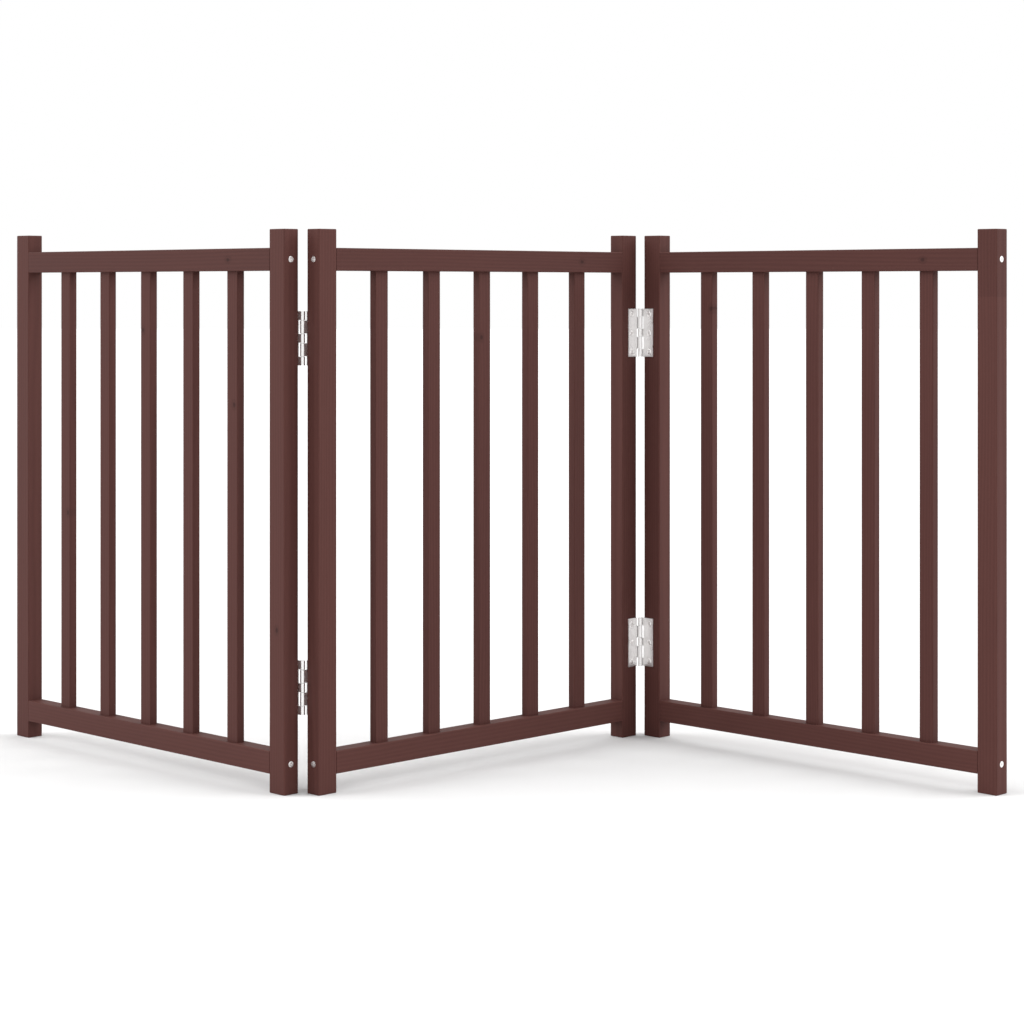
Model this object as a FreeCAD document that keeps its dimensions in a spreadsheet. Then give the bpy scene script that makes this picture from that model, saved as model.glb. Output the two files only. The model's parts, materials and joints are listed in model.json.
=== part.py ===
import FreeCAD, Part
import os
import re

import Sketcher
from FreeCAD import Placement, Rotation, Vector

# A free-standing folding gate: three slatted wooden panels in a zigzag, joined by butt hinges.
# The origin is on the floor under the middle of the middle panel. +X runs along the zigzag,
# +Y to the back and +Z up. Lengths are millimetres and angles degrees.
#
# Each panel has a frame of its own with the same +Z: x along the panel and y to its back.
# The left joint folds the left panel behind the middle one, so its hinges are on the back
# faces. The right joint folds the right panel in front, so its hinges are on the front faces.

SIZES = {
    "panel_length": (500, "panel, over both posts"),
    "rest_angle": (90, "angle between neighbouring panels as the gate stands"),
    "post_height": (600, "post, floor to top"),
    "post_width": (24.6, "post, along the panel"),
    "post_thick": (19.6, "post and rail, across the panel"),
    "wood_ease": (1, "radius on the edges of posts and rails"),
    "rail_height": (24.4, "rail, bottom to top"),
    "rail_inset": (20, "floor to bottom rail, and top rail to post top"),
    "baluster_count": (5, "balusters in each panel"),
    "baluster_width": (17.8, "baluster, along the panel"),
    "baluster_thick": (9.8, "baluster, across the panel"),
    "baluster_ease": (0.8, "radius on the long edges of a baluster"),
    "mortise_depth": (8, "mortise in a rail"),
    "mortise_play": (0.1, "gap round a baluster in its mortise"),
    "mortise_spare": (0.5, "mortise past the end of a baluster"),
    "rail_screw_length": (50, "post-to-rail screw, tip to head"),
    "rail_screw_shank": (4, "diameter of its shank"),
    "rail_screw_head": (6.6, "diameter of its countersunk head"),
    "rail_screw_point": (1.3, "chamfer at its tip"),
    "rail_screw_sunk": (0.2, "head below the post's end face"),
    "screw_play": (0.05, "radial gap round a screw in wood or in a leaf"),
    "upper_hinge": (483.7, "floor to the middle of the upper hinges"),
    "lower_hinge": (112.6, "floor to the middle of the lower hinges"),
    "hinge_height": (57.7, "leaf and barrel, along the pin"),
    "hinge_setback": (3.8, "pin axis beyond the end of a panel"),
    "leaf_cover": (15, "width of leaf that lies on a post"),
    "leaf_thick": (1.1, "sheet that the leaf is made of"),
    "leaf_corner": (0.8, "radius on the leaf's outer corners"),
    "barrel_size": (5.6, "outer diameter of the barrel"),
    "pin_size": (3.3, "diameter of the pin"),
    "pin_chamfer": (0.3, "chamfer on the ends of the pin"),
    "pin_grip": (0.01, "radial gap where a side leaf holds its pin"),
    "side_knuckle": (9.4, "length of each of a side leaf's three knuckles"),
    "knuckle_play": (0.5, "gap between knuckles"),
    "leaf_screw_pitch": (22.4, "between the screws of a leaf"),
    "leaf_screw_inset": (6.3, "screw axis from a leaf's outer edge"),
    "leaf_screw_length": (14, "leaf screw, under its head"),
    "leaf_screw_shank": (3, "diameter of its shank"),
    "leaf_screw_head": (6.6, "diameter of its pan head"),
    "leaf_screw_rise": (1, "height of its pan head"),
    "leaf_screw_round": (0.7, "radius on the rim of its pan head"),
    "leaf_screw_point": (1, "chamfer at its tip"),
    "recess_span": (3.4, "cross recess in a screw head, end to end"),
    "recess_width": (0.8, "width of the recess's slots"),
    "recess_depth": (0.6, "depth of the recess"),
    "pilot_spare": (1, "pilot hole past the tip of a screw"),
}

# Lengths that follow from the sizes.
RAIL_LENGTH = "(panel_length - 2 * post_width)"
BALUSTER_PITCH = f"(({RAIL_LENGTH} + baluster_width) / (baluster_count + 1))"
BALUSTER_OPEN = "(post_height - 2 * rail_inset - 2 * rail_height)"
LOW_RAIL = "(rail_inset + rail_height / 2)"
HIGH_RAIL = "(post_height - rail_inset - rail_height / 2)"
LEAF_WIDTH = "(hinge_setback + leaf_cover)"
LEAF_SCREW_X = f"({LEAF_WIDTH} - leaf_screw_inset)"
MIDDLE_KNUCKLE = "((hinge_height - 3 * side_knuckle - 4 * knuckle_play) / 2)"
THROUGH_LEAF = "(2 * barrel_size)"

ACROSS_Y = Rotation(Vector(0, 1, 0), 180)
ACROSS_X = Rotation(Vector(1, 0, 0), 180)
ABOUT_Z = Rotation(Vector(0, 0, 1), 180)

doc = FreeCAD.newDocument("folding_gate")
sheet = doc.addObject("Spreadsheet::Sheet", "Sizes")


def fill_sheet():
    for row, (name, (value, meaning)) in enumerate(SIZES.items(), start=1):
        sheet.set(f"A{row}", meaning)
        sheet.set(f"B{row}", str(value))
        sheet.setAlias(f"B{row}", name)
    doc.recompute()


def bound(formula):
    """A formula in the sizes' names, as an expression that reads them from the sheet."""
    return re.sub("|".join(rf"\b{name}\b" for name in SIZES), r"Sizes.\g<0>", formula)


def value(formula):
    """The number that a formula gives."""
    result = sheet.evalExpression(bound(formula))
    return float(getattr(result, "Value", result))


def new_body(label):
    body = doc.addObject("PartDesign::Body", label)
    body.Label = label
    return body


def new_sketch(body, plane, **offset):
    """A sketch on one of the body's origin planes, moved by formulas along its own x, y and z."""
    sketch = body.newObject("Sketcher::SketchObject", f"{body.Name}_sketch")
    support = next(f for f in body.Origin.OriginFeatures if f.Role == plane)
    sketch.AttachmentSupport = [(support, "")]
    sketch.MapMode = "FlatFace"
    for axis, formula in offset.items():
        sketch.setExpression(f"AttachmentOffset.Base.{axis}", bound(formula))
    return sketch


def constrain(sketch, formula, kind, *where):
    """Adds a dimension to a sketch and binds it to a formula."""
    index = sketch.addConstraint(Sketcher.Constraint(kind, *where, value(formula)))
    sketch.setExpression(f"Constraints[{index}]", bound(formula))


def draw_rectangle(sketch, width, height):
    """A rectangle centred on the sketch's origin."""
    x = value(width) / 2
    y = value(height) / 2
    corners = [Vector(-x, -y), Vector(x, -y), Vector(x, y), Vector(-x, y)]
    sides = [Part.LineSegment(corners[i], corners[(i + 1) % 4]) for i in range(4)]
    sketch.addGeometry(sides, False)
    for side in range(4):
        following = (side + 1) % 4
        sketch.addConstraint(Sketcher.Constraint("Coincident", side, 2, following, 1))
        direction = "Vertical" if side % 2 else "Horizontal"
        sketch.addConstraint(Sketcher.Constraint(direction, side))
    sketch.addConstraint(Sketcher.Constraint("Symmetric", 0, 1, 2, 1, -1, 1))
    constrain(sketch, width, "DistanceX", 0, 1, 0, 2)
    constrain(sketch, height, "DistanceY", 1, 1, 1, 2)


def draw_circle(sketch, diameter, x=None, y=None):
    """A circle at the sketch's origin, or where the formulas for x and y put it."""
    centre = Vector(value(x) if x else 0, value(y) if y else 0, 0)
    circle = sketch.addGeometry(Part.Circle(centre, Vector(0, 0, 1), value(diameter) / 2), False)
    constrain(sketch, diameter, "Diameter", circle)
    for formula, axis, distance in ((x, -2, "DistanceX"), (y, -1, "DistanceY")):
        if formula:
            constrain(sketch, formula, distance, -1, 1, circle, 3)
        else:
            sketch.addConstraint(Sketcher.Constraint("PointOnObject", circle, 3, axis))


def add_pad(body, sketch, length, side="One side"):
    pad = body.newObject("PartDesign::Pad", f"{body.Name}_pad")
    pad.Profile = sketch
    pad.SideType = side
    pad.setExpression("Length", bound(length))
    doc.recompute()
    return pad


def add_pocket(body, sketch, length, side="One side", along_normal=False):
    """Cuts a sketch into the body: against the sketch's normal, or along it."""
    before = body.Shape.Volume
    pocket = body.newObject("PartDesign::Pocket", f"{body.Name}_pocket")
    pocket.Profile = sketch
    pocket.SideType = side
    pocket.Reversed = along_normal
    pocket.setExpression("Length", bound(length))
    doc.recompute()
    if not body.Shape.Volume < before:
        raise RuntimeError(f"{body.Label}: a pocket cuts nothing")
    return pocket


def dress_edges(body, kind, size, wanted):
    """Fillets or chamfers the body's edges for which wanted(edge) is true."""
    base = body.Tip
    names = [f"Edge{i}" for i, edge in enumerate(base.Shape.Edges, start=1) if wanted(edge)]
    feature = body.newObject(f"PartDesign::{kind}", f"{body.Name}_{kind.lower()}")
    feature.Base = (base, names)
    feature.setExpression("Radius" if kind == "Fillet" else "Size", bound(size))
    doc.recompute()


def runs_along(axis):
    """A test for straight edges parallel to an axis."""
    def test(edge):
        return edge.Curve.TypeId == "Part::GeomLine" and edge.tangentAt(0).cross(axis).Length < 1e-6
    return test


def repeat(body, originals, plane_sketch, axis, span, count):
    """A row of a body's features, or of its whole shape when originals is empty."""
    pattern = body.newObject("PartDesign::LinearPattern", f"{body.Name}_pattern")
    if originals:
        pattern.Originals = originals
    else:
        pattern.TransformMode = "Whole shape"
    pattern.Direction = (plane_sketch, [axis])
    pattern.setExpression("Length", bound(span))
    pattern.setExpression("Occurrences", bound(count))
    body.Tip = pattern
    doc.recompute()


def mirror(body, originals, plane):
    """Mirrors a body's features, or its whole shape when originals is empty."""
    copy = body.newObject("PartDesign::Mirrored", f"{body.Name}_mirror")
    if originals:
        copy.Originals = originals
    else:
        copy.TransformMode = "Whole shape"
    copy.MirrorPlane = (next(f for f in body.Origin.OriginFeatures if f.Role == plane), [""])
    body.Tip = copy
    doc.recompute()


def make_post(label, hinge_face):
    """A post standing on its origin, with its outer end face at +x.

    hinge_face is 1 or -1 where leaves are screwed to its +y or -y face, and 0 on a plain post.
    """
    body = new_body(label)
    section = new_sketch(body, "XY_Plane")
    draw_rectangle(section, "post_width", "post_thick")
    add_pad(body, section, "post_height")
    dress_edges(body, "Fillet", "wood_ease", lambda edge: True)

    # Countersunk clearance holes through the post for the screws into the rails.
    screws = new_sketch(body, "YZ_Plane", z="post_width / 2")
    for height in (LOW_RAIL, HIGH_RAIL):
        draw_circle(screws, "rail_screw_shank + 2 * screw_play", y=height)
    doc.recompute()
    before = body.Shape.Volume
    hole = body.newObject("PartDesign::Hole", f"{label}_hole")
    hole.Profile = screws
    hole.DepthType = "ThroughAll"
    hole.setExpression("Diameter", bound("rail_screw_shank + 2 * screw_play"))
    hole.HoleCutType = "Countersink"
    hole.HoleCutCustomValues = True
    hole.HoleCutCountersinkAngle = 90
    hole.setExpression("HoleCutDiameter", bound("rail_screw_head + 2 * rail_screw_sunk + 2 * screw_play"))
    doc.recompute()
    if not body.Shape.Volume < before:
        raise RuntimeError(f"{label}: the rail screw holes cut nothing")

    if hinge_face:
        # Pilot holes for the leaves' screws.
        pilots = new_sketch(body, "XZ_Plane", z=f"{-hinge_face} * post_thick / 2")
        for hinge in ("upper_hinge", "lower_hinge"):
            for step in (-1, 0, 1):
                draw_circle(
                    pilots,
                    "leaf_screw_shank + 2 * screw_play",
                    x=f"post_width / 2 + hinge_setback - {LEAF_SCREW_X}",
                    y=f"{hinge} + {step} * leaf_screw_pitch",
                )
        depth = "leaf_screw_length - leaf_thick + pilot_spare"
        add_pocket(body, pilots, depth, along_normal=hinge_face > 0)
    return body


def make_rail(label):
    """A rail centred on its origin along x, with its mortises in its upper face."""
    body = new_body(label)
    section = new_sketch(body, "YZ_Plane")
    draw_rectangle(section, "post_thick", "rail_height")
    add_pad(body, section, RAIL_LENGTH, "Symmetric")
    dress_edges(body, "Fillet", "wood_ease", runs_along(Vector(1, 0, 0)))

    first = f"-{BALUSTER_PITCH} * (baluster_count - 1) / 2"
    mortise = new_sketch(body, "XY_Plane", x=first, z="rail_height / 2")
    draw_rectangle(mortise, "baluster_width + 2 * mortise_play", "baluster_thick + 2 * mortise_play")
    pocket = add_pocket(body, mortise, "mortise_depth")
    span = f"{BALUSTER_PITCH} * (baluster_count - 1)"
    repeat(body, [pocket], mortise, "H_Axis", span, "baluster_count")

    end = new_sketch(body, "YZ_Plane", z=f"{RAIL_LENGTH} / 2")
    draw_circle(end, "rail_screw_shank + 2 * screw_play")
    pilot = add_pocket(body, end, "rail_screw_length + rail_screw_sunk - post_width + pilot_spare")
    mirror(body, [pilot], "YZ_Plane")
    return body


def make_baluster(label):
    """A baluster centred on its origin, long enough to enter both mortises."""
    body = new_body(label)
    section = new_sketch(body, "XY_Plane")
    draw_rectangle(section, "baluster_width", "baluster_thick")
    length = f"{BALUSTER_OPEN} + 2 * (mortise_depth - mortise_spare)"
    add_pad(body, section, length, "Symmetric")
    dress_edges(body, "Fillet", "baluster_ease", runs_along(Vector(0, 0, 1)))
    return body


def make_leaf(label, first_notch, notch_span, notch_height, notch_count, bore):
    """A hinge leaf with its pin axis on z, its plate towards -x and its post under it at -y.

    The notches, spaced evenly from first_notch over notch_span, leave its knuckles standing.
    """
    body = new_body(label)
    sheet_y = "(leaf_thick - barrel_size) / 2"
    plate = new_sketch(body, "XY_Plane", x=f"-{LEAF_WIDTH} / 2", y=sheet_y)
    draw_rectangle(plate, LEAF_WIDTH, "leaf_thick")
    add_pad(body, plate, "hinge_height", "Symmetric")
    outer_edge = -value(LEAF_WIDTH)

    def is_outer_corner(edge):
        return runs_along(Vector(0, 1, 0))(edge) and abs(edge.CenterOfMass.x - outer_edge) < 0.01

    dress_edges(body, "Fillet", "leaf_corner", is_outer_corner)

    barrel = new_sketch(body, "XY_Plane")
    draw_circle(barrel, "barrel_size")
    add_pad(body, barrel, "hinge_height", "Symmetric")
    pin_way = new_sketch(body, "XY_Plane")
    draw_circle(pin_way, bore)
    add_pocket(body, pin_way, "2 * hinge_height", "Symmetric")

    # A notch reaches from the post's end face to past the barrel.
    notch_width = "(hinge_setback + barrel_size)"
    notch = new_sketch(body, "XZ_Plane", x=f"{notch_width} / 2 - hinge_setback", y=first_notch)
    draw_rectangle(notch, notch_width, notch_height)
    cut = add_pocket(body, notch, THROUGH_LEAF, "Symmetric")
    repeat(body, [cut], notch, "V_Axis", notch_span, notch_count)

    holes = new_sketch(body, "XZ_Plane")
    for step in (-1, 0, 1):
        draw_circle(
            holes,
            "leaf_screw_shank + 2 * screw_play",
            x=f"-{LEAF_SCREW_X}",
            y=f"{step} * leaf_screw_pitch" if step else None,
        )
    add_pocket(body, holes, THROUGH_LEAF, "Symmetric")
    return body


def make_side_leaf(label):
    """The leaf on an outer panel, with a knuckle at each end and one in the middle."""
    step = f"(side_knuckle + 2 * knuckle_play + {MIDDLE_KNUCKLE})"
    notch_height = f"{MIDDLE_KNUCKLE} + 2 * knuckle_play"
    bore = "pin_size + 2 * pin_grip"
    return make_leaf(label, f"-{step} / 2", step, notch_height, "2", bore)


def make_middle_leaf(label):
    """The leaf on the middle panel, with its two knuckles between the side leaf's three."""
    span = "(hinge_height - side_knuckle)"
    notch_height = "side_knuckle + 2 * knuckle_play"
    bore = "barrel_size - 2 * leaf_thick"
    return make_leaf(label, f"-{span} / 2", span, notch_height, "3", bore)


def make_pin(label):
    """A hinge pin centred on its origin along z."""
    body = new_body(label)
    section = new_sketch(body, "XY_Plane")
    draw_circle(section, "pin_size")
    add_pad(body, section, "hinge_height", "Symmetric")
    dress_edges(body, "Chamfer", "pin_chamfer", lambda edge: edge.Curve.TypeId == "Part::GeomCircle")
    return body


def cut_cross(body, plane, along_normal, **place):
    """A cross recess in a screw head whose top is at a place on a plane."""
    for width, height in (("recess_span", "recess_width"), ("recess_width", "recess_span")):
        slot = new_sketch(body, plane, **place)
        draw_rectangle(slot, width, height)
        add_pocket(body, slot, "recess_depth", along_normal=along_normal)


def make_leaf_screws(label):
    """The three pan-head screws of a leaf, in the leaf's frame."""
    body = new_body(label)
    across = f"-{LEAF_SCREW_X}"
    under_head = "barrel_size / 2 - leaf_thick"
    place = {"x": across, "y": "-leaf_screw_pitch"}
    shank = new_sketch(body, "XZ_Plane", z=under_head, **place)
    draw_circle(shank, "leaf_screw_shank")
    add_pad(body, shank, "leaf_screw_length")
    dress_edges(body, "Chamfer", "leaf_screw_point", lambda e: e.BoundBox.YMax < -value("barrel_size"))

    head = new_sketch(body, "XZ_Plane", z=f"{under_head} - leaf_screw_rise", **place)
    draw_circle(head, "leaf_screw_head")
    add_pad(body, head, "leaf_screw_rise")
    top = value(f"leaf_screw_rise - ({under_head})")
    dress_edges(body, "Fillet", "leaf_screw_round", lambda e: e.BoundBox.YMin > top - 0.01)
    cut_cross(body, "XZ_Plane", True, z=f"{under_head} - leaf_screw_rise", **place)
    repeat(body, [], shank, "V_Axis", "2 * leaf_screw_pitch", "3")
    return body


def make_rail_screws(label):
    """The four countersunk screws through a panel's posts into its rails, in the panel's frame."""
    body = new_body(label)
    top = "(panel_length / 2 - rail_screw_sunk)"
    sink = "(rail_screw_head - rail_screw_shank) / 2"
    shank = new_sketch(body, "YZ_Plane", y=LOW_RAIL, z=f"{top} - rail_screw_length")
    draw_circle(shank, "rail_screw_shank")
    add_pad(body, shank, "rail_screw_length")
    dress_edges(
        body,
        "Chamfer",
        "rail_screw_point",
        lambda e: e.BoundBox.XMax < value(f"{top} - rail_screw_length / 2"),
    )

    head = new_sketch(body, "YZ_Plane", y=LOW_RAIL, z=f"{top} - {sink}")
    draw_circle(head, "rail_screw_shank")
    cone = add_pad(body, head, sink)
    cone.TaperAngle = 45
    doc.recompute()
    cut_cross(body, "YZ_Plane", False, y=LOW_RAIL, z=top)
    repeat(body, [], shank, "V_Axis", f"{HIGH_RAIL} - {LOW_RAIL}", "2")
    mirror(body, [], "YZ_Plane")
    return body


def place(body, panel, x=0.0, y=0.0, z=0.0, turn=Rotation()):
    """Puts a body at a point of a panel's frame, turned in that frame."""
    body.Placement = panel.multiply(Placement(Vector(x, y, z), turn))


def panel_frames():
    """The three panels' frames, from the angle at which the gate stands."""
    turn = (180 - value("rest_angle")) / 2
    middle = Placement(Vector(), Rotation(Vector(0, 0, 1), turn))
    aside = Rotation(Vector(0, 0, 1), -turn)
    frames = {"middle": middle}
    for name, side in (("left", -1), ("right", 1)):
        axis = Vector(side * PIN_X, -side * PIN_Y, 0)
        own_axis = Vector(-side * PIN_X, -side * PIN_Y, 0)
        frames[name] = Placement(middle.multVec(axis) - aside.multVec(own_axis), aside)
    return frames


def build_panel(name, frame, left_hinges, right_hinges):
    """One panel. Its posts take the leaves on the faces that left_hinges and right_hinges give."""
    post_x = value("(panel_length - post_width) / 2")
    # A left post is a right post turned half round, so its hinge face turns with it.
    place(make_post(f"{name}_panel_left_post", -left_hinges), frame, x=-post_x, turn=ABOUT_Z)
    place(make_post(f"{name}_panel_right_post", right_hinges), frame, x=post_x)
    place(make_rail(f"{name}_panel_bottom_rail"), frame, z=value(LOW_RAIL))
    place(make_rail(f"{name}_panel_top_rail"), frame, z=value(HIGH_RAIL), turn=ACROSS_X)
    count = int(value("baluster_count"))
    for index in range(count):
        x = value(BALUSTER_PITCH) * (index - (count - 1) / 2)
        baluster = make_baluster(f"{name}_panel_baluster_{index + 1}")
        place(baluster, frame, x=x, z=value("post_height / 2"))
    place(make_rail_screws(f"{name}_panel_rail_screws"), frame)


def build_hinge(side_name, level, frames):
    """One hinge between the middle panel and a side panel, with its pin and its screws."""
    name = f"{side_name}_{level}_hinge"
    z = value(f"{level}_hinge")
    end = -1 if side_name == "left" else 1
    middle_turn = ACROSS_Y if side_name == "left" else ACROSS_X
    side_turn = Rotation() if side_name == "left" else ABOUT_Z
    for part, panel, x, turn in (
        ("side", frames[side_name], -end * PIN_X, side_turn),
        ("middle", frames["middle"], end * PIN_X, middle_turn),
    ):
        make = make_side_leaf if part == "side" else make_middle_leaf
        place(make(f"{name}_{part}_leaf"), panel, x, -end * PIN_Y, z, turn)
        place(make_leaf_screws(f"{name}_{part}_screws"), panel, x, -end * PIN_Y, z, turn)
    place(make_pin(f"{name}_pin"), frames["middle"], end * PIN_X, -end * PIN_Y, z)


def check_document():
    for item in doc.Objects:
        if "Invalid" in item.State or "Error" in item.State:
            raise RuntimeError(f"{item.Label}: {item.State}")


def export_bodies():
    bodies = [item for item in doc.Objects if item.TypeId == "PartDesign::Body"]
    for body in bodies:
        if body.Shape.isNull() or not body.Shape.isValid():
            raise RuntimeError(f"{body.Label}: its shape is null or not valid")
    os.makedirs("parts", exist_ok=True)
    for body in bodies:
        body.Shape.exportStep(f"parts/{body.Label}.step")
    return bodies


fill_sheet()
# The pin axis, from a panel's middle to beyond its end and outside its face.
PIN_X = value("panel_length / 2 + hinge_setback")
PIN_Y = value("(post_thick + barrel_size) / 2")

panels = panel_frames()
build_panel("left", panels["left"], left_hinges=0, right_hinges=1)
build_panel("middle", panels["middle"], left_hinges=1, right_hinges=-1)
build_panel("right", panels["right"], left_hinges=-1, right_hinges=0)
for side in ("left", "right"):
    for level in ("upper", "lower"):
        build_hinge(side, level, panels)

doc.recompute()
check_document()
for made in export_bodies():
    box = made.Shape.BoundBox
    print(f"{made.Label}: {len(made.Shape.Solids)} solids, {made.Shape.Volume:.0f} mm3, "
          f"x {box.XMin:.1f} to {box.XMax:.1f}, y {box.YMin:.1f} to {box.YMax:.1f}, "
          f"z {box.ZMin:.1f} to {box.ZMax:.1f}")
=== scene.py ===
import json
import math
import random

import bmesh
import bpy
from mathutils import Matrix, Vector, noise


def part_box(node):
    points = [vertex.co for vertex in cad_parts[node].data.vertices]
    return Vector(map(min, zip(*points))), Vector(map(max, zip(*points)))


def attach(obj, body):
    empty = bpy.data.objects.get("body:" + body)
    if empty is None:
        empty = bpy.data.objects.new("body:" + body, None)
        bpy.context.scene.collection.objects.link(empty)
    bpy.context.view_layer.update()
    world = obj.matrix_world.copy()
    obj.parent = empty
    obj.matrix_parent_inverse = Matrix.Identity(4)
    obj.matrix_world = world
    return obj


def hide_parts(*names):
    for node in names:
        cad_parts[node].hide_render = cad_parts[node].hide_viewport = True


# The looks of a folding gate: painted wooden boards, zinc butt hinges and zinc screws. Every
# piece is made in mesh code at the place and size that its CAD node has, and takes the node's
# place. Lengths are metres.

MM = 0.001
PANELS = ("left_panel", "middle_panel", "right_panel")
SIDES = ("left", "right")
LEVELS = ("upper", "lower")

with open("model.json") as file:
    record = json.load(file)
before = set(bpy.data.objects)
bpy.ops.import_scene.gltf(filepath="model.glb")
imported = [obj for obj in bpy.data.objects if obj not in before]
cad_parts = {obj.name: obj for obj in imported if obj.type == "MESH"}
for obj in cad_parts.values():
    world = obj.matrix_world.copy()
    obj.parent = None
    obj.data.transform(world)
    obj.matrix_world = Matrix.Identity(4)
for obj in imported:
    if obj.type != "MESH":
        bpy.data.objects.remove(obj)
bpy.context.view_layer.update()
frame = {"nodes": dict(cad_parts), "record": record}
bodies = frame["record"]["behaviour"]["bodies"]


# Places and sizes, read from the frame


def box_centre(node):
    low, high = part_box(node)
    return (Vector(low) + Vector(high)) / 2


def frame_of(x_axis, y_axis, z_axis, origin):
    axes = Matrix.Identity(4)
    for column, axis in enumerate((x_axis, y_axis, z_axis, origin)):
        axes.col[column][:3] = axis
    return axes


def panel_axes(panel):
    """A panel's frame on the floor: x along it, y to its back and z up."""
    left = box_centre(f"{panel}_left_post")
    right = box_centre(f"{panel}_right_post")
    along = (right - left).normalized()
    up = Vector((0, 0, 1))
    middle = (left + right) / 2
    return frame_of(along, up.cross(along), up, (middle.x, middle.y, 0))


def leaf_axes(panel, pin):
    """A leaf's frame: z along the pin, the plate towards -x and the post's face below it in y."""
    axes = panel_axes(panel)
    x_sign, y_sign = (math.copysign(1, part) for part in (axes.inverted() @ box_centre(pin)).xy)
    x_axis = axes.col[0].xyz * x_sign
    y_axis = axes.col[1].xyz * y_sign
    return frame_of(x_axis, y_axis, x_axis.cross(y_axis), box_centre(pin))


def extent(node, axes):
    """The lowest and highest corner of a CAD node, measured in a frame."""
    inverse = axes.inverted()
    points = [inverse @ vertex.co for vertex in frame["nodes"][node].data.vertices]
    low = Vector([min(values) for values in zip(*points)])
    high = Vector([max(values) for values in zip(*points)])
    return low, high


# Meshes


def store(mesh, name, kind, values):
    """Stores a value at each vertex, for a material to read."""
    field = "vector" if kind == "FLOAT_VECTOR" else "value"
    data = mesh.attributes.new(name, kind, "POINT").data
    for item, value in zip(data, values):
        setattr(item, field, value)


def show(node, mesh, axes, material):
    """Shows a mesh, given in a frame's coordinates, in place of a CAD node."""
    mesh.transform(axes)
    mesh.materials.append(material)
    piece = bpy.data.objects.new(f"{node}_look", mesh)
    bpy.context.scene.collection.objects.link(piece)
    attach(piece, next(body for body, nodes in bodies.items() if node in nodes))
    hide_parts(node)
    piece.modifiers.new("normals", "WEIGHTED_NORMAL").keep_sharp = True
    return piece


def mesh_from(bm, name):
    bmesh.ops.recalc_face_normals(bm, faces=bm.faces)
    mesh = bpy.data.meshes.new(name)
    bm.to_mesh(mesh)
    bm.free()
    return mesh


def smooth(mesh, sharp_angle=35):
    mesh.shade_smooth()
    mesh.set_sharp_from_angle(angle=math.radians(sharp_angle))


def cut(mesh, tool_mesh):
    """The mesh with the tool's mesh taken out of it."""
    body = bpy.data.objects.new("cut_body", mesh)
    tool = bpy.data.objects.new("cut_tool", tool_mesh)
    for item in (body, tool):
        bpy.context.scene.collection.objects.link(item)
    step = body.modifiers.new("cut", "BOOLEAN")
    step.operation = "DIFFERENCE"
    step.solver = "EXACT"
    step.object = tool
    graph = bpy.context.evaluated_depsgraph_get()
    result = bpy.data.meshes.new_from_object(body.evaluated_get(graph))
    for item in (body, tool):
        bpy.data.objects.remove(item)
    return result


def join_rings(bm, rings):
    """A closed solid through rings of points that all have the same count."""
    rows = [[bm.verts.new(point) for point in ring] for ring in rings]
    for low, high in zip(rows, rows[1:]):
        for i in range(len(low)):
            j = (i + 1) % len(low)
            bm.faces.new((low[i], low[j], high[j], high[i]))
    bm.faces.new(reversed(rows[0]))
    bm.faces.new(rows[-1])


def turned(bm, profile, steps, axes=Matrix()):
    """A solid of revolution about a frame's z, from (radius, z) pairs."""
    turns = [2 * math.pi * i / steps for i in range(steps)]
    join_rings(bm, [
        [axes @ Vector((radius * math.cos(a), radius * math.sin(a), z)) for a in turns]
        for radius, z in profile
    ])


def block(bm, low, high, axes=Matrix(), taper=0.0):
    """A box between two corners, drawn in by taper on each side at its low z end."""
    rings = []
    for z, inset in ((low.z, taper), (high.z, 0)):
        corners = (
            (low.x + inset, low.y + inset),
            (high.x - inset, low.y + inset),
            (high.x - inset, high.y - inset),
            (low.x + inset, high.y - inset),
        )
        rings.append([axes @ Vector((x, y, z)) for x, y in corners])
    join_rings(bm, rings)


# Boards

POST_EASE = 1.0 * MM  # the radius of the edges of posts and rails
BALUSTER_EASE = 0.8 * MM
ARC_STEPS = 5
GUARD = 0.06 * MM  # flat strip beside each rounded edge
SECTION_SPACING = 12 * MM
SANDING = 0.25  # how far the radius of a sanded edge wanders, as a share of it
SANDING_WAVES = 25  # a metre


def section(width, thick, ease, z):
    """A board's rounded rectangle at one place along it."""
    points = []
    for quarter, (x_sign, y_sign) in enumerate(((1, 1), (-1, 1), (-1, -1), (1, -1))):
        centre = Vector((x_sign * (width / 2 - ease), y_sign * (thick / 2 - ease), z))
        turns = [math.pi / 2 * (quarter + step / ARC_STEPS) for step in range(ARC_STEPS + 1)]
        spokes = [Vector((math.cos(turn), math.sin(turn), 0)) for turn in turns]
        arc = [centre + ease * spoke for spoke in spokes]
        points += [arc[0] - GUARD * spokes[-1], *arc, arc[-1] - GUARD * spokes[0]]
    return points


def rounded_end(size, reach, ease, radius, side):
    """The sections that round off a board's low end (side -1) or high end (side 1), going outwards."""
    sections = []
    for step in range(1, ARC_STEPS + 1):
        turn = math.pi / 2 * step / ARC_STEPS
        inset = ease * (1 - math.cos(turn))
        z = side * (reach + ease * math.sin(turn))
        sections.append((size.x - 2 * inset, size.y - 2 * inset, max(radius - inset, GUARD), z))
    width, thick, _, z = sections[-1]
    sections.append((width - 4 * GUARD, thick - 4 * GUARD, GUARD, z))
    return sections


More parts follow.
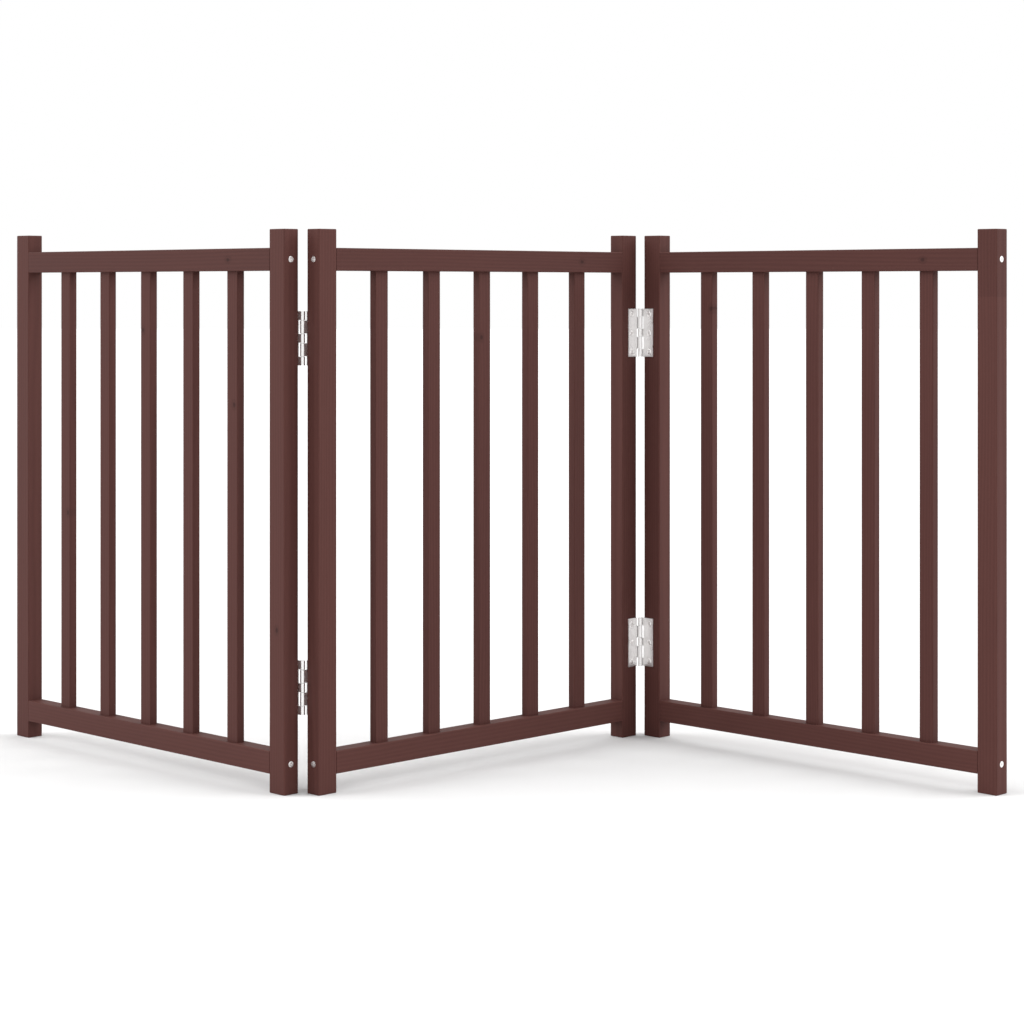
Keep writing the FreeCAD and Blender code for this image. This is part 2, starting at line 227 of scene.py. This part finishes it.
def board_solid(bm, size, ease, rng, rounded_ends):
    """A board centred on the origin with its length along z."""
    phase = rng.uniform(0, 100)
    reach = size.z / 2 - (ease if rounded_ends else 0)
    count = max(2, round(2 * reach / SECTION_SPACING))
    sections = []
    for step in range(count + 1):
        z = reach * (2 * step / count - 1)
        wander = abs(noise.noise(Vector((phase, 0, z * SANDING_WAVES))))
        sections.append((size.x, size.y, ease * (1 + SANDING * wander), z))
    if rounded_ends:
        low_end = rounded_end(size, reach, ease, sections[0][2], -1)
        high_end = rounded_end(size, reach, ease, sections[-1][2], 1)
        sections = [*reversed(low_end), *sections, *high_end]
    join_rings(bm, [section(*numbers) for numbers in sections])


# Where a knot shows through the paint: its place along the board, as a share of the length from
# the low or left end, and across it from the middle, as a share of the width.
KNOTS = {
    "left_panel_top_rail": (0.844, 0.0),
    "middle_panel_top_rail": (0.844, 0.0),
    "right_panel_top_rail": (0.844, 0.0),
    "left_panel_right_post": (0.29, 0.0),
    "left_panel_baluster_1": (0.45, 0.3),
    "left_panel_baluster_3": (0.86, -0.25),
    "left_panel_baluster_5": (0.71, 0.2),
    "middle_panel_baluster_3": (0.845, -0.3),
    "right_panel_baluster_1": (0.905, 0.4),
}

# The place along a board where two lengths of timber are finger-jointed end to end.
JOINTS = {"right_panel_right_post": 0.88}

NOWHERE = 9.0  # a place far off the board, for boards with no knot or no joint

# How light each kind of board is made, about 0 to 1, and how much boards of a kind vary.
# Painted shade and light: the top rails are made darker, and the bottom rails lighter to cancel the shade
# near the floor.
BOARD_TONES_AND_PAINTED_LIGHT = {"post": 0.7, "top_rail": -0.25, "bottom_rail": 1.0, "baluster": 0.0}
TONE_RANGE = 0.3

SEED_RANGE = 9.0  # how far apart, in metres, the boards and plates are cut from endless stock


def rubbing(point, size, ease):
    """How far round an edge a point is: 0 on a board's faces and ends, and most at its corners."""
    depths = sorted(half - abs(along) for along, half in zip(point, size / 2))
    return max(0, 1 - depths[1] / ease)


def store_timber(mesh, node, size, ease, rng, free_ends):
    """Stores what the wood's material reads. A joined board's ends are hidden, so they aren't rubbed."""
    start = Vector([rng.uniform(-SEED_RANGE, SEED_RANGE) for _ in range(3)])
    kind = next(kind for kind in BOARD_TONES_AND_PAINTED_LIGHT if kind in node)
    # The kind's lightness carries painted shade on the top rails and painted light on the bottom rails.
    tone_and_painted_light = BOARD_TONES_AND_PAINTED_LIGHT[kind] + TONE_RANGE * (rng.random() - 0.5)
    along, across = KNOTS.get(node, (NOWHERE, 0))
    knot = Vector((across * size.x, 0, size.z * (along - 0.5)))
    joint = size.z * (JOINTS.get(node, NOWHERE) - 0.5)
    store(mesh, "timber", "FLOAT_VECTOR", [start + vertex.co for vertex in mesh.vertices])
    store(mesh, "knot_way", "FLOAT_VECTOR", [vertex.co - knot for vertex in mesh.vertices])
    store(mesh, "joint_way", "FLOAT", [vertex.co.z - joint for vertex in mesh.vertices])
    reach = size if free_ends else Vector((size.x, size.y, 2 * size.z))
    store(mesh, "rubbing", "FLOAT", [rubbing(vertex.co, reach, ease) for vertex in mesh.vertices])
    store(mesh, "board_tone_and_painted_light", "FLOAT", [tone_and_painted_light] * len(mesh.vertices))


def make_board(node, axes, ease, rounded_ends, cutter=None):
    """A board in place of a node. The frame's z is along the board."""
    rng = random.Random(node)
    low, high = extent(node, axes)
    size = high - low
    own_axes = axes @ Matrix.Translation((low + high) / 2)
    bm = bmesh.new()
    board_solid(bm, size, ease, rng, rounded_ends)
    mesh = mesh_from(bm, node)
    if cutter:
        tool = bmesh.new()
        cutter(tool, own_axes, size)
        mesh = cut(mesh, mesh_from(tool, f"{node}_tool"))
    store_timber(mesh, node, size, ease, rng, rounded_ends)
    smooth(mesh)
    show(node, mesh, own_axes, painted_wood)


def rail_heights(panel):
    return [box_centre(f"{panel}_{level}_rail").z for level in ("bottom", "top")]


SCREW_SUNK = 0.2 * MM
COUNTERSINK_GAP = 0.15 * MM
COUNTERSINK_SLOPE = 1.6 * MM  # how deep the sloping part goes, at 45 degrees
COUNTERSINK_DEPTH = 3 * MM
ROUND_STEPS = 40


def post_cutter(panel, side):
    """Countersinks for the two rail screws in a post's outer end face."""
    def cutter(bm, axes, size):
        _, high = extent(f"{panel}_rail_screws", panel_axes(panel))
        rim = high.y + SCREW_SUNK + COUNTERSINK_GAP
        waist = rim - COUNTERSINK_SLOPE
        profile = [(waist, -COUNTERSINK_DEPTH), (waist, -COUNTERSINK_SLOPE), (rim + MM, MM)]
        for height in rail_heights(panel):
            face = Matrix.Translation((side * size.x / 2, 0, height - axes.translation.z))
            out = face @ Matrix.Rotation(side * math.pi / 2, 4, "Y")
            turned(bm, profile, ROUND_STEPS, out)
    return cutter


BALUSTERS = range(1, 6)
MORTISE_GAP = 0.15 * MM


def rail_cutter(panel):
    """Mortises for the balusters."""
    def cutter(bm, axes, size):
        gap = Vector((MORTISE_GAP, MORTISE_GAP, MORTISE_GAP))
        for index in BALUSTERS:
            low, high = extent(f"{panel}_baluster_{index}", axes)
            block(bm, low - gap, high + gap)
    return cutter


def make_panel_boards(panel):
    upright = panel_axes(panel)
    lying = upright @ Matrix.Rotation(math.pi / 2, 4, "Y")
    for side_name, side in (("left", -1), ("right", 1)):
        make_board(f"{panel}_{side_name}_post", upright, POST_EASE, True, post_cutter(panel, side))
    for level in ("bottom", "top"):
        make_board(f"{panel}_{level}_rail", lying, POST_EASE, False, rail_cutter(panel))
    for index in BALUSTERS:
        make_board(f"{panel}_baluster_{index}", upright, BALUSTER_EASE, False)


# Hinges

SHEET = 1.1 * MM
KNUCKLE_PLAY = 0.5 * MM
SIDE_KNUCKLE = 9.4 * MM
LEAF_CORNER = 0.8 * MM  # radius
CORNER_COLUMN = LEAF_CORNER * 1.5  # how wide the strip of faces is that holds a leaf's outer corners
CORNER_STEPS = 4
STAMPED_EDGE = 0.12 * MM
STAMPED_STEPS = 2
SHARP_FOLD = math.radians(60)  # edges that turn more than this are softened
ROLL_END = math.radians(292)  # how far the sheet curls round the pin
ROLL_STEPS = 22
TINY = 1e-6  # places closer than this are the same


def knuckle_spans(height, part):
    """Where a leaf's knuckles are along the pin."""
    middle_knuckle = (height - 3 * SIDE_KNUCKLE - 4 * KNUCKLE_PLAY) / 2
    spans = []
    z = -height / 2
    for index in range(5):
        length = middle_knuckle if index % 2 else SIDE_KNUCKLE
        if (index % 2 == 1) == (part == "middle"):
            spans.append((z, z + length))
        z += length + KNUCKLE_PLAY
    return spans


def cut_sheet(bm, columns, levels, spans):
    """A flat leaf on y = 0 to SHEET: a plate over the first two columns, and its knuckles' tongues."""
    grid = {}

    def corner(i, j):
        if (i, j) not in grid:
            grid[i, j] = bm.verts.new((columns[i], 0, levels[j]))
        return grid[i, j]

    for j, (below, above) in enumerate(zip(levels, levels[1:])):
        middle = (below + above) / 2
        is_knuckle = any(start < middle < end for start, end in spans)
        for i in range(len(columns) - 1):
            if i < 2 or is_knuckle:
                loop = (corner(i, j), corner(i + 1, j), corner(i + 1, j + 1), corner(i, j + 1))
                bm.faces.new(loop)
    sheet = bmesh.ops.extrude_face_region(bm, geom=list(bm.faces))
    raised = [item for item in sheet["geom"] if isinstance(item, bmesh.types.BMVert)]
    bmesh.ops.translate(bm, verts=raised, vec=(0, SHEET, 0))
    bmesh.ops.recalc_face_normals(bm, faces=bm.faces)


def soften(bm, half_height):
    """Rounds a flat leaf's two outer corners, then every stamped edge a little."""
    def is_outer_corner(edge):
        start, end = (vertex.co for vertex in edge.verts)
        through = abs(start.y - end.y) > SHEET / 2
        return through and start.x < TINY and abs(abs(start.z) - half_height) < TINY

    corners = [edge for edge in bm.edges if is_outer_corner(edge)]
    bmesh.ops.bevel(
        bm, geom=corners, offset=LEAF_CORNER, segments=CORNER_STEPS, profile=0.5, affect="EDGES",
    )
    edges = [
        edge for edge in bm.edges
        if len(edge.link_faces) == 2 and edge.calc_face_angle() > SHARP_FOLD
    ]
    bmesh.ops.bevel(
        bm, geom=edges, offset=STAMPED_EDGE, segments=STAMPED_STEPS, profile=0.5, affect="EDGES",
    )


def leaf_mesh(node, low, high, part, setback):
    """A leaf: cut from sheet and softened while it is flat, then rolled round the pin."""
    roll = high.x - SHEET / 2
    flat = -low.x
    columns = [0, CORNER_COLUMN, flat - setback, flat]
    columns += [flat + roll * ROLL_END * step / ROLL_STEPS for step in range(1, ROLL_STEPS + 1)]
    spans = knuckle_spans(high.z - low.z, part)
    levels = sorted({low.z, high.z, *(round(z, 7) for span in spans for z in span)})
    levels = [z for i, z in enumerate(levels) if i == 0 or z - levels[i - 1] > TINY]

    bm = bmesh.new()
    cut_sheet(bm, columns, levels, spans)
    soften(bm, high.z)
    for vertex in bm.verts:
        along, rise, z = vertex.co
        turn = max(0, along - flat) / roll
        radius = roll - (rise - SHEET / 2)
        x = radius * math.sin(turn) + min(0, along - flat)
        vertex.co = (x, -radius * math.cos(turn), z)
    return mesh_from(bm, node)


def show_metal(node, mesh, axes, material):
    """Shows a metal piece, whose material reads a place in the sheet that it was cut from."""
    rng = random.Random(node)
    start = Vector([rng.uniform(-SEED_RANGE, SEED_RANGE) for _ in range(3)])
    store(mesh, "sheet", "FLOAT_VECTOR", [start + vertex.co for vertex in mesh.vertices])
    smooth(mesh)
    show(node, mesh, axes, material)


def hinged_post(panel, axes):
    """The post on the side that a leaf's frame points to."""
    to_right = axes.col[0].xyz.dot(panel_axes(panel).col[0].xyz) > 0
    return f"{panel}_{'right' if to_right else 'left'}_post"


def make_leaf(node, axes, part, panel):
    low, high = extent(node, axes)
    _, post_end = extent(hinged_post(panel, axes), axes)
    mesh = leaf_mesh(node, low, high, part, -post_end.x)
    show_metal(node, mesh, axes, zinc_sheet)


PIN_DOME = 0.25  # the height of the domed ends, as a share of the pin's radius
PIN_DOME_TURNS = (0, 0.4, 0.8, 1.2, 1.5)  # radians up from the dome's rim
PIN_STEPS = 32


def make_pin(node, axes):
    _, high = extent(node, axes)
    dome = high.x * PIN_DOME
    top = [(high.x * math.cos(t), high.z - dome + dome * math.sin(t)) for t in PIN_DOME_TURNS]
    bottom = [(radius, -z) for radius, z in reversed(top)]
    bm = bmesh.new()
    turned(bm, bottom + top, PIN_STEPS)
    mesh = mesh_from(bm, node)
    show_metal(node, mesh, axes, zinc_wire)


# Screws

CROSS_SPAN = 3.4 * MM
CROSS_WIDTH = 0.75 * MM
CROSS_DEPTH = 0.75 * MM
CROSS_TAPER = CROSS_WIDTH * 0.3

LEAF_SCREW_SHANK = 1.5 * MM  # radius
RAIL_SCREW_SHANK = 2 * MM
RAIL_SCREW_LENGTH = 50 * MM
TIP_RADIUS = 0.2 * MM  # of a screw's blunt tip, and of the spot that closes a flat head

PAN_RIM = 0.35  # the height of a pan head's upright rim, as a share of its rise
PAN_FULLNESS = 0.8  # below 1, the dome is fuller than round
PAN_EDGE = 0.1 * MM
DOME_STEPS = 8

# A flat head's rim, as points so far in from its widest and so high, and its faintly domed top.
FLAT_RIM = ((0.05 * MM, -0.08 * MM), (0, -0.04 * MM), (0.08 * MM, 0))
FLAT_CROWN = 0.6  # of the head's radius
FLAT_CROWN_RISE = 0.03 * MM
FLAT_TOP_RISE = 0.04 * MM


def screw_mesh(profile, top):
    """A screw with its head up z, and a cross recess that narrows as it goes down."""
    bm = bmesh.new()
    turned(bm, profile, ROUND_STEPS)
    mesh = mesh_from(bm, "screw")
    low = Vector((-CROSS_SPAN / 2, -CROSS_WIDTH / 2, top - CROSS_DEPTH))
    high = Vector((CROSS_SPAN / 2, CROSS_WIDTH / 2, top + MM))
    for turn in (0, math.pi / 2):
        tool = bmesh.new()
        block(tool, low, high, Matrix.Rotation(turn, 4, "Z"), CROSS_TAPER)
        mesh = cut(mesh, mesh_from(tool, "cross"))
    return mesh


def screw_point(shank, length):
    """(radius, z) pairs from a screw's tip to its full shank."""
    return [(TIP_RADIUS, -length), (shank, -length + 2 * shank)]


def pan_profile(head, shank, length, rise):
    """(radius, z) pairs of a pan-head screw with the underside of its head at 0."""
    rim = rise * PAN_RIM
    dome = []
    for step in range(DOME_STEPS + 1):
        turn = math.pi / 2 * step / DOME_STEPS
        radius = max(head * math.cos(turn) ** PAN_FULLNESS, PAN_EDGE)
        dome.append((radius, rim + (rise - rim) * math.sin(turn)))
    return [*screw_point(shank, length), (shank, 0), (head - PAN_EDGE, 0), (head, PAN_EDGE), *dome]


def flat_profile(head, shank, length):
    """(radius, z) pairs of a countersunk screw with its rim at 0."""
    rim = [(head - inset, z) for inset, z in FLAT_RIM]
    top = [(head * FLAT_CROWN, FLAT_CROWN_RISE), (TIP_RADIUS, FLAT_TOP_RISE)]
    return [*screw_point(shank, length), (shank, shank - head), *rim, *top]


def place_screws(node, axes, mesh, places):
    """Copies of a screw at places in a frame, each turned as it was left by the driver."""
    rng = random.Random(node)
    bm = bmesh.new()
    for place in places:
        copy = mesh.copy()
        copy.transform(place @ Matrix.Rotation(rng.uniform(0, math.pi / 2), 4, "Z"))
        bm.from_mesh(copy)
        bpy.data.meshes.remove(copy)
    group = mesh_from(bm, node)
    show_metal(node, group, axes, bright_zinc)


def make_leaf_screws(node, axes):
    low, high = extent(node, axes)
    head = (high.x - low.x) / 2
    pitch = (high.z - low.z) / 2 - head
    _, barrel = extent(node.replace("screws", "leaf"), axes)
    sheet_top = -barrel.x + SHEET  # the barrel touches the post's face, as the leaf does
    rise = high.y - sheet_top
    mesh = screw_mesh(pan_profile(head, LEAF_SCREW_SHANK, sheet_top - low.y, rise), rise)
    middle = (low.x + high.x) / 2
    out = Matrix.Rotation(-math.pi / 2, 4, "X")
    places = [Matrix.Translation((middle, sheet_top, step * pitch)) @ out for step in (-1, 0, 1)]
    place_screws(node, axes, mesh, places)


def make_rail_screws(panel):
    node = f"{panel}_rail_screws"
    axes = panel_axes(panel)
    low, high = extent(node, axes)
    head = high.y
    mesh = screw_mesh(flat_profile(head, RAIL_SCREW_SHANK, RAIL_SCREW_LENGTH), 0)
    places = []
    for side in (-1, 1):
        for height in (low.z + head, high.z - head):
            out = Matrix.Rotation(side * math.pi / 2, 4, "Y")
            places.append(Matrix.Translation((side * high.x, 0, height)) @ out)
    place_screws(node, axes, mesh, places)


def make_hinge(side, level):
    name = f"{side}_{level}_hinge"
    for part, panel in (("side", f"{side}_panel"), ("middle", "middle_panel")):
        axes = leaf_axes(panel, f"{name}_pin")
        make_leaf(f"{name}_{part}_leaf", axes, part, panel)
        make_leaf_screws(f"{name}_{part}_screws", axes)
    make_pin(f"{name}_pin", leaf_axes("middle_panel", f"{name}_pin"))


# Materials


class Look:
    """A material. Its methods take sockets, which they link, or values, which they set."""

    def __init__(self, name):
        self.material = bpy.data.materials.new(name)
        self.material.use_nodes = True
        self.tree = self.material.node_tree
        self.tree.nodes.clear()
        self.shader = self.node("ShaderNodeBsdfPrincipled")
        self.node("ShaderNodeOutputMaterial", Surface=self.shader.outputs[0])

    def put(self, socket, value):
        if isinstance(value, bpy.types.NodeSocket):
            self.tree.links.new(value, socket)
        elif isinstance(value, tuple) and socket.type == "RGBA":
            socket.default_value = (*value, 1)
        else:
            socket.default_value = value

    def node(self, kind, settings=(), **inputs):
        node = self.tree.nodes.new(kind)
        for name, value in dict(settings).items():
            setattr(node, name, value)
        for name, value in inputs.items():
            self.put(node.inputs[name.replace("_", " ")], value)
        return node

    def attribute(self, name, output="Vector"):
        return self.node("ShaderNodeAttribute", {"attribute_name": name}).outputs[output]

    def math(self, operation, *values):
        node = self.node("ShaderNodeMath", {"operation": operation})
        for socket, value in zip(node.inputs, values):
            self.put(socket, value)
        return node.outputs[0]

    def total(self, *values):
        """The sum of (socket, weight) pairs."""
        result = 0.0
        for socket, weight in values:
            result = self.math("MULTIPLY_ADD", socket, weight, result)
        return result

    def scale(self, vector, factors):
        node = self.node("ShaderNodeVectorMath", {"operation": "MULTIPLY"})
        self.put(node.inputs[0], vector)
        self.put(node.inputs[1], factors)
        return node.outputs[0]

    def length(self, vector):
        node = self.node("ShaderNodeVectorMath", {"operation": "LENGTH"})
        self.put(node.inputs[0], vector)
        return node.outputs["Value"]

    def noise(self, place, scale, detail=2.0):
        """Noise with so many features a metre along each axis of a place."""
        vector = self.scale(place, scale)
        node = self.node("ShaderNodeTexNoise", Vector=vector, Scale=1.0, Detail=detail, Roughness=0.5)
        return node.outputs[0]

    def ramp(self, factor, *stops):
        """A run of colours or numbers along a factor. Each stop is a position and a value."""
        node = self.node("ShaderNodeValToRGB", Fac=factor)
        elements = node.color_ramp.elements
        while len(elements) < len(stops):
            elements.new(1.0)
        for element, (position, value) in zip(elements, stops):
            element.position = position
            element.color = (*value, 1) if isinstance(value, tuple) else (value, value, value, 1)
        return node.outputs[0]

    def mix(self, factor, first, second):
        node = self.node("ShaderNodeMix", {"data_type": "RGBA"})
        for index, value in ((0, factor), (6, first), (7, second)):
            self.put(node.inputs[index], value)
        return node.outputs[2]

    def bump(self, height, distance, strength):
        node = self.node("ShaderNodeBump", Height=height, Distance=distance, Strength=strength)
        self.put(self.shader.inputs["Normal"], node.outputs[0])

    def finish(self, **inputs):
        for name, value in inputs.items():
            self.put(self.shader.inputs[name.replace("_", " ")], value)
        return self.material


PAINT_DARK = (0.0633, 0.0215, 0.0181)
PAINT_LIGHT = (0.0838, 0.0301, 0.0252)
KNOT_COLOUR = (0.022, 0.008, 0.007)
WORN_PAINT = (0.135, 0.058, 0.046)

RINGS = (1500, 500)  # radians a metre, across the board and through it
RING_WANDER = 22  # radians

# The wood's other patterns, in features a metre: across the board, through it and along it.
RING_BENDS = (25, 25, 2.0)
STREAKS = (1300, 1300, 22)
PATCHES = (18, 18, 6)
PORES = (2600, 2600, 2600)
RAGS = (420, 0, 420)
WEAR = (90, 90, 30)

KNOT_RADIUS = 7 * MM
KNOT_SHAPE = (1, 0, 0.75)  # goes right through the board, and is a little longer along it
GRAIN_DEPTH = 0.07 * MM


def make_painted_wood():
    """Dark brown satin paint on pine. The grain, and on some boards a knot, show through it faintly."""
    look = Look("painted_wood")
    timber = look.attribute("timber")
    # Each board's tone, with painted shade on the top rails and painted light on the bottom rails.
    tone_and_painted_light = look.attribute("board_tone_and_painted_light", "Fac")
    axes = look.node("ShaderNodeSeparateXYZ", Vector=timber)

    # Growth rings about 4 mm apart, which wander along the board, and fine streaks.
    bend = look.noise(timber, RING_BENDS)
    across = look.total((axes.outputs["X"], RINGS[0]), (axes.outputs["Y"], RINGS[1]), (bend, RING_WANDER))
    rings = look.math("SINE", across)
    streaks = look.noise(timber, STREAKS, detail=4)
    patches = look.noise(timber, PATCHES)
    pores = look.noise(timber, PORES, detail=3)

    # A knot: a dark heart in a faint ring.
    ragged = look.noise(timber, RAGS, detail=3)
    way = look.length(look.scale(look.attribute("knot_way"), KNOT_SHAPE))
    far = look.total((way, 1 / KNOT_RADIUS), (ragged, 0.35))
    knot = look.ramp(far, (0.0, 1.0), (0.38, 0.9), (0.55, 0.15), (0.72, 0.28), (0.95, 0.0))

    # The timber past a finger joint takes the paint a little darker.
    past_joint = look.math("GREATER_THAN", look.attribute("joint_way", "Fac"), 0.0)

    # Edges where hands and feet have rubbed the paint thin and dull, in patches.
    wear = look.ramp(look.noise(timber, WEAR, detail=4), (0.4, 0.15), (0.65, 1.0))
    worn = look.math("MULTIPLY", look.attribute("rubbing", "Fac"), wear)

    shade = look.total((rings, 0.15), (streaks, 0.7), (patches, 0.4), (tone_and_painted_light, 0.28), (past_joint, -0.3))
    paint = look.ramp(shade, (0.3, PAINT_DARK), (1.0, PAINT_LIGHT))
    paint = look.mix(look.math("MULTIPLY", worn, 0.45), paint, WORN_PAINT)
    colour = look.mix(look.math("MULTIPLY", knot, 0.75), paint, KNOT_COLOUR)
    roughness = look.total((streaks, 0.16), (patches, 0.12), (knot, 0.08), (worn, 0.12), (pores, 0.06))
    height = look.total((rings, 0.15), (streaks, 0.9), (pores, 0.25), (knot, -1.5))
    look.bump(height, GRAIN_DEPTH, 0.7)
    return look.finish(
        Base_Color=colour,
        Roughness=look.math("ADD", roughness, 0.45),
        Specular_IOR_Level=0.14,
    )


# The zinc's patterns, in features a metre: along the leaf, through it and up it.
ROLLING_LINES = (3000, 3000, 150)
BLOTCHES = (130, 130, 90)
CRYSTALS = (600, 600, 600)


def make_zinc(name, colour, dull, grain):
    """Zinc plate: soft blotches of dulled plate, faint crystals and fine rolling lines along the sheet."""
    look = Look(name)
    place = look.attribute("sheet")
    lines = look.noise(place, ROLLING_LINES, detail=3)
    blotches = look.noise(place, BLOTCHES, detail=3)
    cells = look.node(
        "ShaderNodeTexVoronoi", {"feature": "F1"}, Vector=look.scale(place, CRYSTALS), Scale=1.0,
    ).outputs["Color"]
    crystals = look.node("ShaderNodeSeparateColor", Color=cells).outputs[0]
    shade = look.total((lines, 0.25), (blotches, 0.6), (crystals, 0.15))
    look.bump(look.total((lines, 1.0), (crystals, 0.1)), grain, 0.12)
    return look.finish(
        Base_Color=look.ramp(shade, (0.3, dull), (0.7, colour)),
        Metallic=0.92,
        Roughness=look.math("ADD", look.total((lines, 0.1), (blotches, 0.2)), 0.15),
    )


painted_wood = make_painted_wood()
zinc_sheet = make_zinc("zinc_sheet", (0.88, 0.865, 0.86), (0.80, 0.785, 0.78), 0.006 * MM)
zinc_wire = make_zinc("zinc_wire", (0.86, 0.85, 0.84), (0.74, 0.735, 0.73), 0.01 * MM)
bright_zinc = make_zinc("bright_zinc", (0.99, 0.97, 0.96), (0.93, 0.91, 0.905), 0.008 * MM)

for panel_name in PANELS:
    make_panel_boards(panel_name)
    make_rail_screws(panel_name)
for side_name in SIDES:
    for level_name in LEVELS:
        make_hinge(side_name, level_name)


# The floor, the light and the camera

FLOOR_SIZE = 60.0
FLOOR_MOTTLE = (3, 3, 3)  # patches a metre
FLOOR_DARK = (0.72, 0.72, 0.72)
FLOOR_LIGHT = (0.74, 0.74, 0.74)

SKY_STRENGTH = 1.0
LIGHTS = {"left_light": (180, 1.80), "right_light": (0, 2.08)}  # azimuth and strength
LIGHT_HEIGHT = 35  # degrees above the floor
LIGHT_SPREAD = 50  # degrees across, for soft shadows

CAMERA_PLACE = (0.0318, -2.7827, 0.5365)
SENSOR_WIDTH = 36  # millimetres, as is the focal length
FOCAL_LENGTH = 86.42
LENS_SHIFT = (0.0021, -0.2181)
VIEW_LIMIT = 200


def make_floor():
    bm = bmesh.new()
    bmesh.ops.create_grid(bm, x_segments=1, y_segments=1, size=FLOOR_SIZE / 2)
    floor = bpy.data.objects.new("floor", mesh_from(bm, "floor"))
    bpy.context.scene.collection.objects.link(floor)
    look = Look("pale_floor")
    place = look.node("ShaderNodeTexCoord").outputs["Object"]
    mottle = look.noise(place, FLOOR_MOTTLE, detail=4)
    look.finish(
        Base_Color=look.ramp(mottle, (0.3, FLOOR_DARK), (0.7, FLOOR_LIGHT)),
        Roughness=0.9,
        Specular_IOR_Level=0.0,
    )
    floor.data.materials.append(look.material)


def make_light():
    world = bpy.data.worlds.new("studio")
    bpy.context.scene.world = world
    world.use_nodes = True
    background = world.node_tree.nodes["Background"]
    background.inputs["Color"].default_value = (1, 1, 1, 1)
    background.inputs["Strength"].default_value = SKY_STRENGTH
    for name, (azimuth, strength) in LIGHTS.items():
        data = bpy.data.lights.new(name, "SUN")
        data.energy = strength
        data.angle = math.radians(LIGHT_SPREAD)
        lamp = bpy.data.objects.new(name, data)
        lamp.rotation_euler = (0, math.radians(90 - LIGHT_HEIGHT), math.radians(azimuth))
        bpy.context.scene.collection.objects.link(lamp)


def make_camera():
    """At the height of a low table, level, with its lens shifted down to take in the gate's feet."""
    data = bpy.data.cameras.new("camera")
    data.sensor_width = SENSOR_WIDTH
    data.lens = FOCAL_LENGTH
    data.shift_x, data.shift_y = LENS_SHIFT
    data.clip_end = VIEW_LIMIT
    camera = bpy.data.objects.new("camera", data)
    camera.location = CAMERA_PLACE
    camera.rotation_euler = (math.pi / 2, 0, 0)
    bpy.context.scene.collection.objects.link(camera)
    bpy.context.scene.camera = camera


make_floor()
make_light()
make_camera()
bpy.context.scene.view_settings.view_transform = "Standard"
